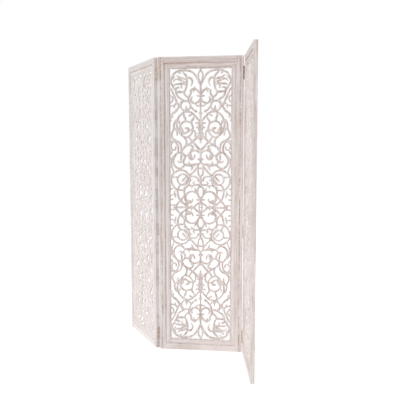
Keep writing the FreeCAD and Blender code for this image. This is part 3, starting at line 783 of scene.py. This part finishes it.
def wash_tone_and_light(graph, panel, kind, across, up, grain, lifted_walls):
    """How light the wash is at saw marks, with painted light by its place on the screen and on the walls of
    openings.
    """
    # Painted light: the panel's and the kind's tones, lighter at the bottom and darker at the top, and a
    # fade across the centre panel
    lit_tone = panel_tone_and_light[panel] * kind_tone_and_light[kind]
    height_light = graph.fade(up, 0.0, panel_height, *[lit_tone * share for share in painted_height_light[kind]])
    most_saw = graph.fade(grain["patches"], *saw_patch_span, 1.0, 1.0 - saw_share[kind])
    saw_tone = graph.fade(grain["saw"], *saw_span, 1.0, most_saw)
    side_light = graph.fade(across, -sight_half_width, sight_half_width, *painted_side_light[panel])
    return graph.product(height_light, saw_tone, lifted_walls, side_light)


def whitewash(graph, panel, kind, across, up, grain, lifted_walls):
    """The wash's colour: streaky, thin in patches, and thinned by handling at the top."""
    contrast = panel_contrast[panel]
    streaks = grain["streaks"]
    streaky = graph.fade(streaks, *streak_span, *[contrast * share for share in streak_shares[kind]])
    wash = graph.blend(streaky, wash_light, wash_shade)
    wash = graph.vector("SCALE", {0: wash, 3: wash_tone_and_light(graph, panel, kind, across, up, grain, lifted_walls)})
    wash = graph.vector("MULTIPLY", {0: wash, 1: panel_tint[panel]})
    thin = graph.product(
        graph.fade(grain["patches"], *thin_patch_span), graph.fade(streaks, *thin_streak_span))
    most_thin = contrast * thin_share[kind]
    worn_through = graph.fade(up, 0.0, panel_height, *[share * most_thin for share in thin_height_shares])
    wash = graph.blend(graph.product(thin, worn_through), wash, wash_thin)
    handled = graph.fade(
        up, panel_height - handled_reach, panel_height - handled_full_reach, 0.0, handled_share[panel])
    handled_streaks = graph.fade(streaks, *handled_streak_span, handled_streak_low, 1.0)
    return graph.blend(graph.product(handled, handled_streaks), wash, wash_handled)


def whitewashed(graph, panel, kind, across, up, grain, brown_mask, lifted_walls=1.0):
    """Colour and roughness of whitewashed wood, turned to the wood's brown where brown_mask is 1;
    that brown is partly painted shade in the mouldings' quirks and on the carving.
    """
    wash = whitewash(graph, panel, kind, across, up, grain, lifted_walls)
    wood = graph.blend(graph.fade(grain["fine"], *wood_span), wood_dark, wood_brown)
    pores = graph.fade(grain["pores"], *pore_span, 0.0, panel_contrast[panel] * pore_wear[kind])
    brown_share = graph.greatest(pores, brown_mask)
    colour = graph.blend(graph.product(brown_share, wood_cover), wash, wood)
    return colour, graph.fade(brown_share, 0.0, 1.0, wash_roughness, wood_roughness)


def mean_height(graph, a, b):
    """The mean of two heights."""
    return graph.math("ADD", graph.product(a, 1 / 2), graph.product(b, 1 / 2))


def board_material(panel, along):
    """Whitewashed frame board, its grain along an axis, scuffed to brown at its long edges."""
    graph = Graph(bpy.data.materials.new(f"whitewashed_board_{panel}_{'xyz'[along]}"))
    place = panel_coordinates(graph, panel)
    grain = wood_grain(graph, place, panel, along)
    x, y, z = graph.parts(place)
    if along == UPRIGHT:
        kind, outer, inner = "stiles", panel_half_width, frame_half_width
        across = graph.math("ABSOLUTE", x)
    else:
        kind, outer, inner = "rails", middle_height, frame_half_height
        across = graph.gap(z, middle_height)
    from_outer = graph.math("SUBTRACT", outer, across)
    from_inner = graph.math("SUBTRACT", across, inner)
    from_face = graph.math("SUBTRACT", panel_half_thickness, graph.math("ABSOLUTE", y))
    from_arris = graph.math("ADD", graph.math("MINIMUM", from_outer, from_inner), from_face)
    wobble = graph.noise(graph.stretched(place, arris_stretch, panel_shift(panel)), *arris_noise)
    reach = graph.fade(wobble, *arris_span, *arris_reaches)
    arris = graph.math("SUBTRACT", 1.0, graph.math("DIVIDE", from_arris, reach), clamp=True)
    arris = graph.product(arris, arris_wear[kind])
    stretches = graph.noise(graph.stretched(place, stretches_stretch, panel_shift(panel)), *stretches_noise)
    line = graph.product(
        graph.fade(stretches, *worn_line_stretch_span, 0.0, worn_line_wear[kind]),
        graph.fade(grain["saw"], *worn_line_saw_span, worn_line_saw_low, 1.0),
        graph.fade(graph.gap(from_outer, worn_line_place), *worn_line_gap_span))
    edge_face = graph.product(
        graph.fade(from_outer, *edge_depth_span),
        graph.fade(stretches, *edge_stretch_span, 0.0, edge_wear[panel]))
    brown_mask = graph.greatest(arris, line, edge_face)
    colour, roughness = whitewashed(graph, panel, kind, x, z, grain, brown_mask)
    graph.shader.inputs["Specular IOR Level"].default_value = specular_level
    height = mean_height(graph, grain["fine"], grain["streaks"])
    return graph.finish(colour, roughness, height, *board_bump)


def moulding_material(panel):
    """Whitewashed moulding, brown at its lines and in the quirk beside the frame, where the brown is partly
    painted shade.
    """
    graph = Graph(bpy.data.materials.new("whitewashed_moulding_" + panel))
    place = panel_coordinates(graph, panel)
    x, _, z = graph.parts(place)
    from_side = graph.math("SUBTRACT", frame_half_width, graph.math("ABSOLUTE", x))
    from_end = graph.math("SUBTRACT", frame_half_height, graph.gap(z, middle_height))
    from_frame = graph.math("MINIMUM", from_side, from_end)
    upright = graph.math("LESS_THAN", from_side, from_end)
    level_grain = wood_grain(graph, place, panel, LEVEL)
    upright_grain = wood_grain(graph, place, panel, UPRIGHT)
    grain = {}
    for name in grain_noises:
        mix = graph.node("ShaderNodeMix", {0: upright, 2: level_grain[name], 3: upright_grain[name]})
        grain[name] = mix.outputs[0]
    wobble = graph.noise(place, *moulding_noise)
    # Partly painted shade: the quirk's recess is browned, more on level strips than upright ones
    quirk = graph.product(
        graph.fade(from_frame, *quirk_depth_span),
        graph.fade(wobble, *quirk_noise_span, quirk_noise_low, 1.0),
        graph.fade(upright, 0.0, 1.0, *quirk_wear_and_shade))
    bead = graph.fade(graph.gap(from_frame, bead_line_place), *bead_gap_span, 0.0, bead_wear)
    lip = graph.fade(from_frame, *[moulding_width - gap for gap in lip_gap_span], 0.0, lip_wear)
    lines = graph.product(graph.greatest(bead, lip), graph.fade(wobble, *moulding_line_span))
    brown_mask = graph.greatest(quirk, lines)
    colour, roughness = whitewashed(graph, panel, "mouldings", x, z, grain, brown_mask)
    graph.shader.inputs["Specular IOR Level"].default_value = specular_level
    height = mean_height(graph, grain["fine"], grain["streaks"])
    return graph.finish(colour, roughness, height, *moulding_bump)


def fretwork_material(panel):
    """Whitewashed carving, brown at its edges and crests, partly wood showing through and partly painted
    shade, with painted light on the shaded sides of its openings.
    """
    graph = Graph(bpy.data.materials.new("whitewashed_fretwork_" + panel))
    place = graph.node("ShaderNodeTexCoord").outputs["Object"]
    inside = graph.node("ShaderNodeAttribute", attribute_name="inside").outputs["Fac"]
    facing = graph.node("ShaderNodeAttribute", attribute_name="facing").outputs["Fac"]
    x, _, z = graph.parts(place)
    grain = wood_grain(graph, place, panel, UPRIGHT)
    wobble = graph.noise(place, *carving_noise)
    # Partly painted shade: brown along the vines' edges and crests, besides wood showing through
    carving_brown = carving_wear_and_shade[panel]
    edge = graph.fade(inside, *carving_edge_span, 0.0, carving_edge_wear_and_shade * carving_brown)
    crest_fall = graph.fade(inside, *crest_fall_span, *[share * carving_brown for share in crest_wear_and_shade])
    crest = graph.fade(inside, *crest_span, 0.0, crest_fall)
    patchy_brown = graph.fade(wobble, *carving_noise_span, carving_noise_low, 1.0)
    brown_mask = graph.product(graph.greatest(edge, crest), patchy_brown)
    # Painted light: the walls of the openings, which lie in shade, get a lighter colour
    lifted_walls = graph.fade(facing, *wall_facing_span, 1.0, painted_wall_light)
    colour, roughness = whitewashed(graph, panel, "carving", x, z, grain, brown_mask, lifted_walls)
    graph.shader.inputs["Specular IOR Level"].default_value = specular_level
    height = mean_height(graph, grain["fine"], wobble)
    return graph.finish(colour, roughness, height, *carving_bump)


def pin_distance(graph, place, side):
    """How far a point is from the pins' axis on one side."""
    axis = Vector(fold_joint(side)["pos_m"])
    level = graph.vector("MULTIPLY", {0: place, 1: (1, 1, 0)})
    gap = graph.node("ShaderNodeVectorMath", {0: level, 1: (axis.x, axis.y, 0)}, operation="DISTANCE")
    return gap.outputs["Value"]


def hinge_material(side, level):
    """Browned steel, its leaves and part of its knuckles covered by the frame's whitewash."""
    graph = Graph(bpy.data.materials.new(f"{side}_{level}_hinge"))
    place = graph.node("ShaderNodeTexCoord").outputs["Object"]
    mottle = graph.noise(place, *hinge_mottle_noise)
    patches = graph.noise(place, *hinge_patch_noise)
    steel = graph.blend(graph.fade(mottle, *hinge_mottle_span), steel_dark, steel_rubbed)
    wash = graph.blend(graph.fade(patches, *hinge_wash_span), *hinge_wash[level])
    on_leaf = graph.fade(pin_distance(graph, place, side), *knuckle_reach_span)
    cover = graph.fade(on_leaf, 0.0, 1.0, knuckle_cover[level], leaf_cover)
    cover = graph.math("ADD", cover, graph.math("SUBTRACT", patches, 1 / 2))
    washed = graph.fade(cover, *hinge_cover_span)
    graph.feed(graph.shader.inputs["Metallic"], graph.fade(washed, 0.0, 1.0, hinge_metal, 0.0))
    graph.shader.inputs["Specular IOR Level"].default_value = specular_level
    colour = graph.blend(washed, steel, wash)
    return graph.finish(colour, graph.fade(washed, 0.0, 1.0, *hinge_roughnesses), mottle, *hinge_bump)


def screw_material(level):
    """Browned steel screw heads, mostly covered by the whitewash."""
    graph = Graph(bpy.data.materials.new(level + "_screws"))
    place = graph.node("ShaderNodeTexCoord").outputs["Object"]
    mottle = graph.noise(place, *screw_mottle_noise)
    patches = graph.noise(place, *screw_patch_noise)
    steel = graph.blend(graph.fade(mottle, *screw_mottle_span), steel_dark, steel_rubbed)
    washed = graph.fade(patches, *screw_cover_span, *screw_covers)
    graph.feed(graph.shader.inputs["Metallic"], graph.fade(washed, 0.0, 1.0, screw_metal, 0.0))
    colour = graph.blend(washed, steel, hinge_wash[level][1])
    return graph.finish(colour, graph.fade(washed, 0.0, 1.0, *screw_roughnesses), mottle, *screw_bump)


# Screws of the hinges: the leaf they stand on, the head, which narrows from its rim
# to its top, its slot, and the disc that shows in the slot
leaf_thickness = 0.0018
screw_head_radius = 0.0032
screw_head_height = 0.0003
screw_rim_share = 1 / 2
screw_top_share = 0.85
screw_slot_width = 0.0009
screw_disc_radius_share = 0.98
screw_disc_height_share = 1 / 4
screw_points = 16
screw_turn = 0.9

# Each screw's place on its leaf, as shares of the leaf's width and length
screw_place_shares = [(-0.16, -0.36), (0.16, 0.0), (-0.16, 0.36)]


def screw_ring(mesh, middle, radius, out, turns):
    """Points of a mesh on a circle about a screw's axis, which runs along X."""
    ring = []
    for turn in turns:
        point = Vector((out, radius * math.cos(turn), radius * math.sin(turn)))
        ring.append(mesh.verts.new(middle + point))
    return ring


def add_screw(mesh, middle, outward, turn):
    """A countersunk head with a slot: two halves that stand on a thin disc."""
    profile = (
        (screw_head_radius, -screw_head_height),
        (screw_head_radius, screw_rim_share * screw_head_height),
        (screw_top_share * screw_head_radius, screw_head_height))
    for half_turn in (math.pi, 0):
        rings = []
        for radius, out in profile:
            start = math.asin(screw_slot_width / 2 / radius)
            turns = [start + (math.pi - 2 * start) * number / (screw_points - 1) + half_turn + turn
                     for number in range(screw_points)]
            rings.append(screw_ring(mesh, middle, radius, outward * out, turns))
        add_lofted(mesh, rings)
    radius = screw_disc_radius_share * screw_head_radius
    turns = [2 * math.pi * number / screw_points for number in range(screw_points)]
    rings = []
    for out in (-screw_head_height, screw_disc_height_share * screw_head_height):
        rings.append(screw_ring(mesh, middle, radius, outward * out, turns))
    add_lofted(mesh, rings)


def leaf_screws(mesh, low, high, side, level, sign):
    """The screws of one leaf, in panel place on the stile's edge that carries it."""
    free_edge = low.y if side == "left" else high.y
    pin_edge = panel_half_thickness if side == "left" else -panel_half_thickness
    for number, (across, up) in enumerate(screw_place_shares):
        middle = Vector((
            sign * (panel_half_width + leaf_thickness),
            (free_edge + pin_edge) / 2 + across * (pin_edge - free_edge),
            (low.z + high.z) / 2 + up * (high.z - low.z)))
        add_screw(mesh, middle, sign, screw_turn * (number + 1) * (len(level) + sign))
    bmesh.ops.recalc_face_normals(mesh, faces=mesh.faces[:])


def add_screws():
    """The screws of every hinge leaf, one piece for each leaf."""
    materials = {level: screw_material(level) for level in HINGE_LEVELS}
    for side, joint_sign in (("left", -1), ("right", 1)):
        for level in HINGE_LEVELS:
            low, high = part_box(f"{side}_{level}_hinge_centre_leaf")
            for leaf, panel, sign in (("centre", "centre", joint_sign), ("wing", side, -joint_sign)):
                mesh = bmesh.new()
                leaf_screws(mesh, low, high, side, level, sign)
                piece = new_piece(f"{side}_{level}_hinge_{leaf}_screws", mesh)
                piece.data.materials.append(materials[level])
                piece.matrix_world = panel_place(panel)
                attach(piece, panel + "_panel")


def dress(node, material):
    """Gives a carried-over CAD piece its material."""
    piece = frame["nodes"][node]
    piece.data.materials.clear()
    piece.data.materials.append(material)


def dress_panels():
    fretwork = carve_fretwork()
    for panel in PANELS:
        upright = board_material(panel, UPRIGHT)
        level = board_material(panel, LEVEL)
        moulding = moulding_material(panel)
        for side in ("left", "right"):
            dress(f"{panel}_panel_stile_{side}", upright)
        for end in ("bottom", "top"):
            dress(f"{panel}_panel_rail_{end}", level)
        for strip in ("bottom", "left", "top", "right"):
            dress(f"{panel}_panel_moulding_{strip}", moulding)
        mesh = fretwork.copy()
        mesh.materials.append(fretwork_material(panel))
        piece = new_object(f"{panel}_panel_carving", mesh)
        piece.matrix_world = panel_place(panel)
        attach(piece, panel + "_panel")
        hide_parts(panel + "_panel_fretwork")
    bpy.data.meshes.remove(fretwork)


def dress_hinges():
    for side in ("left", "right"):
        for level in HINGE_LEVELS:
            material = hinge_material(side, level)
            for piece in ("centre_leaf", "wing_leaf", "pin"):
                dress(f"{side}_{level}_hinge_{piece}", material)


# Camera, found from the corners of the three panels in the photograph
camera_place = Vector((0.5162, -3.6481, 1.2373))
camera_turn_left = math.radians(8.1)
camera_tilt_down = math.radians(7.31)
camera_lens = 55.1
camera_rise = 0.07

# Light and floor
white = (1, 1, 1, 1)
world_strength = 0.68
key_place = Vector((-6.2, -4.4, 4.6))
key_size = 3.2
key_power = 210.0
fill_place = Vector((-0.6, -6.4, 2.6))
fill_size = 4.0
fill_power = 60.0
floor_size = 40.0
floor_colour = (0.9, 0.9, 0.9, 1)
floor_glow = 0.44


def add_camera():
    data = bpy.data.cameras.new("camera")
    data.lens = camera_lens
    data.shift_y = camera_rise
    data.clip_end = floor_size
    camera = new_object("camera", data)
    camera.location = camera_place
    camera.rotation_euler = (math.pi / 2 - camera_tilt_down, 0, camera_turn_left)
    bpy.context.scene.camera = camera


def add_lamp(name, place, size, power):
    """A square lamp that faces the middle of the screen."""
    data = bpy.data.lights.new(name, "AREA")
    data.shape = "SQUARE"
    data.size = size
    data.energy = power
    lamp = new_object(name, data)
    lamp.location = place
    aim = Vector((0, 0, middle_height)) - place
    lamp.rotation_euler = aim.to_track_quat("-Z", "Y").to_euler()


def seen_share(graph):
    """1 where the camera, a reflection or a see-through ray looks, and 0 for light."""
    path = graph.node("ShaderNodeLightPath").outputs
    return graph.greatest(path["Is Camera Ray"], path["Is Glossy Ray"], path["Is Transmission Ray"])


def add_world():
    """Soft light from all round, and a white background."""
    graph = Graph(bpy.data.worlds.new("studio"))
    graph.tree.nodes.clear()
    lit = graph.node("ShaderNodeBackground", {"Strength": world_strength, "Color": white})
    seen = graph.node("ShaderNodeBackground", {"Color": white})
    mix = graph.node("ShaderNodeMixShader", {0: seen_share(graph), 1: lit.outputs[0], 2: seen.outputs[0]})
    graph.node("ShaderNodeOutputWorld", {0: mix.outputs[0]})
    bpy.context.scene.world = graph.owner


def add_floor():
    """A pale floor that looks white and keeps the screen's shadow."""
    bpy.ops.mesh.primitive_plane_add(size=floor_size)
    floor = bpy.context.object
    floor.name = "floor"
    graph = Graph(bpy.data.materials.new("pale_floor"))
    graph.tree.nodes.clear()
    lit = graph.node("ShaderNodeBsdfDiffuse", {"Color": floor_colour})
    glow_strength = graph.product(seen_share(graph), floor_glow)
    glow = graph.node("ShaderNodeEmission", {"Color": white, "Strength": glow_strength})
    both = graph.node("ShaderNodeAddShader", {0: lit.outputs[0], 1: glow.outputs[0]})
    graph.node("ShaderNodeOutputMaterial", {0: both.outputs[0]})
    floor.data.materials.append(graph.owner)


dress_panels()
dress_hinges()
add_screws()
add_camera()
add_lamp("key", key_place, key_size, key_power)
add_lamp("fill", fill_place, fill_size, fill_power)
add_world()
add_floor()
bpy.context.scene.view_settings.view_transform = "Standard"
